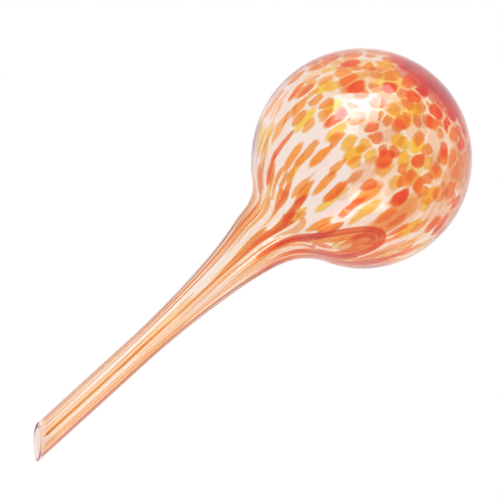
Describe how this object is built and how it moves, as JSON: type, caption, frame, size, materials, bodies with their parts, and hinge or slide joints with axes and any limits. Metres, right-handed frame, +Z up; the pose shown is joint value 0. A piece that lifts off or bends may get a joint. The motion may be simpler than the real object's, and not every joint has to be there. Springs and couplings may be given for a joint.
{
  "type": "watering globe",
  "caption": "Hand-blown glass bulb with coloured chips in its wall, on a drawn hollow stem with a slanted open tip that is pushed into a pot's soil to water it slowly.",
  "frame": {"origin": "on the stem's axis at the soil line, where the straight stem ends and the neck begins to flare", "axes": "+Z up the stem's axis to the bulb, as the globe stands in a pot; +X to the side that the bulb leans to"},
  "size_m": [0.09, 0.09, 0.2264],
  "materials": {
    "clear_glass": "clear, smooth and glossy",
    "orange_glass": "translucent orange",
    "amber_glass": "translucent amber",
    "red_glass": "translucent red",
    "streak_glass": "translucent peach orange"
  },
  "bodies": {
    "root": {"glass_body": "clear_glass", "orange_chips": "orange_glass", "amber_chips": "amber_glass", "red_chips": "red_glass", "drawn_streaks": "streak_glass"}
  },
  "joints": []
}
